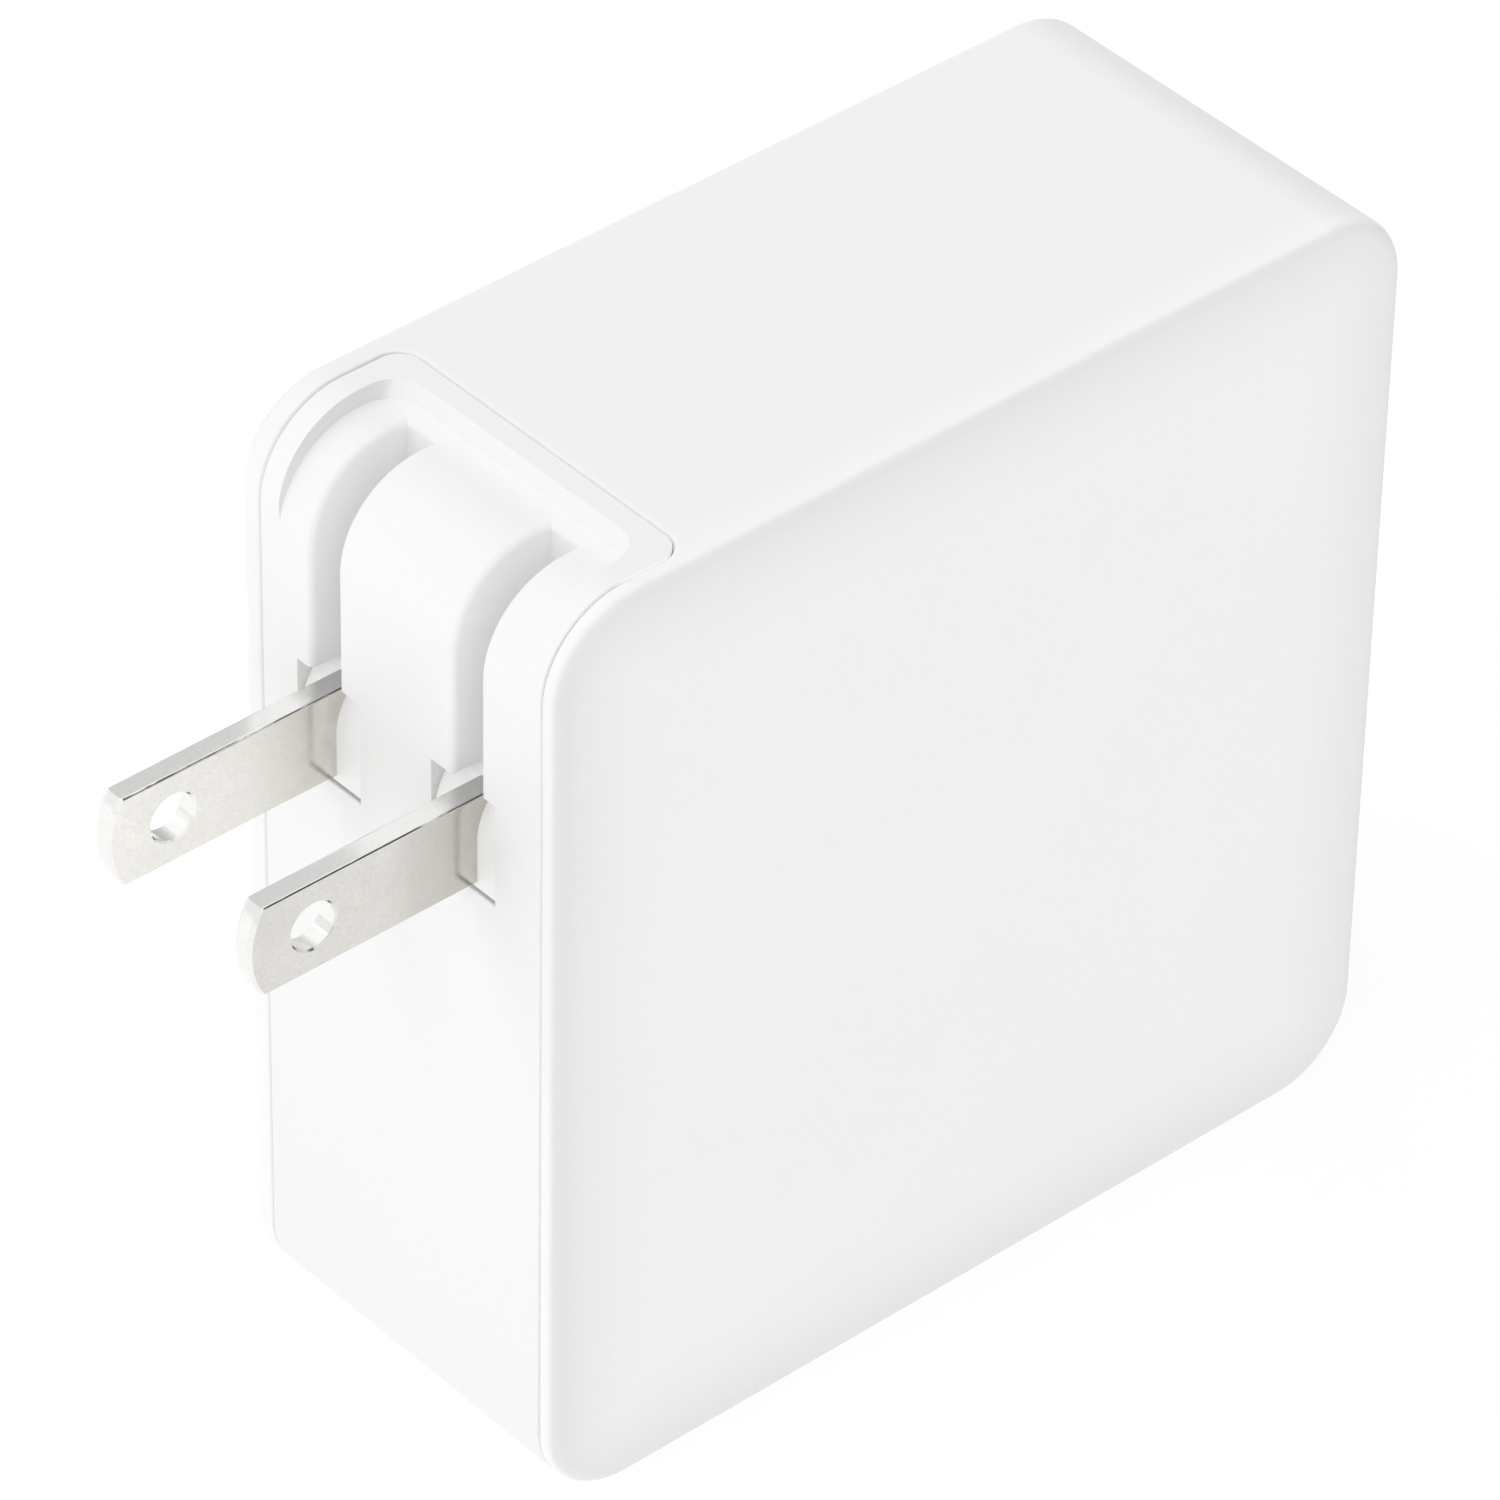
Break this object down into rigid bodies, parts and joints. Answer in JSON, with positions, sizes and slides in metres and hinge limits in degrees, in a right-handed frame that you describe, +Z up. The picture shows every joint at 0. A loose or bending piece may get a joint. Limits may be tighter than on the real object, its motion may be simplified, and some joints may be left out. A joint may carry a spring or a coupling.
{
  "type": "usb wall charger",
  "caption": "Slab-shaped wall charger with a fold-away two-blade plug on its narrow back and USB sockets on the narrow front.",
  "frame": {"origin": "centre of the flat bottom face", "axes": "+Z up, +Y towards the sockets, -Y towards the wall outlet, X across the thickness"},
  "size_m": [0.0282, 0.0822, 0.0669],
  "materials": {
    "case_plastic": "fine moulded grain, white",
    "cover_plastic": "fine moulded grain, white",
    "plate_plastic": "satin white",
    "carrier_plastic": "satin white",
    "blade_metal": "nickel plated, lightly stained",
    "inner_plastic": "as moulded",
    "screw_steel": "zinc plated",
    "spring_steel": "rolled",
    "contact_copper": "rolled phosphor bronze",
    "board": "solder mask",
    "socket_metal": "bright nickel",
    "socket_black": "satin",
    "gold": "gold flash",
    "ferrite": "sintered",
    "bobbin_plastic": "as moulded",
    "winding_tape": "tape",
    "capacitor_sleeve": "shrink sleeve",
    "aluminium_can": "drawn can",
    "copper_wire": "enamelled wire",
    "film_box": "moulded box",
    "ceramic_disc": "dipped",
    "chip_black": "moulded epoxy",
    "spreader_metal": "rolled sheet",
    "pad_rubber": "soft silicone pad",
    "film": "polyester film"
  },
  "bodies": {
    "case": {"case_shell": "case_plastic", "wall_cover": "cover_plastic", "socket_plate": "plate_plastic", "pivot_retainer": "inner_plastic", "retainer_screws": "screw_steel", "detent_spring": "spring_steel", "line_contact": "contact_copper", "neutral_contact": "contact_copper", "main_board": "board", "port_board": "board", "usb_c_shell": "socket_metal", "usb_a_shell": "socket_metal", "usb_c_tongue": "socket_black", "usb_a_tongue": "socket_black", "usb_c_contacts": "gold", "usb_a_contacts": "gold", "transformer_core": "ferrite", "transformer_bobbin": "bobbin_plastic", "transformer_winding": "winding_tape", "bulk_capacitors": "capacitor_sleeve", "output_capacitors": "aluminium_can", "choke_core": "ferrite", "choke_windings": "copper_wire", "film_capacitor": "film_box", "safety_capacitor": "ceramic_disc", "input_fuse": "chip_black", "bridge_rectifier": "chip_black", "power_switch": "chip_black", "controller_chip": "chip_black", "output_rectifier": "chip_black", "heat_spreader_front": "spreader_metal", "heat_spreader_back": "spreader_metal", "thermal_pad": "pad_rubber", "insulation_film": "film"},
    "plug": {"blade_left": "blade_metal", "blade_right": "blade_metal", "blade_carrier": "carrier_plastic"}
  },
  "joints": [
    {"name": "blade_fold", "type": "hinge", "parent": "case", "child": "plug", "pos_m": [0, -0.0299, 0.04705], "axis": [-1, 0, 0], "range_deg": [0, 90]}
  ]
}
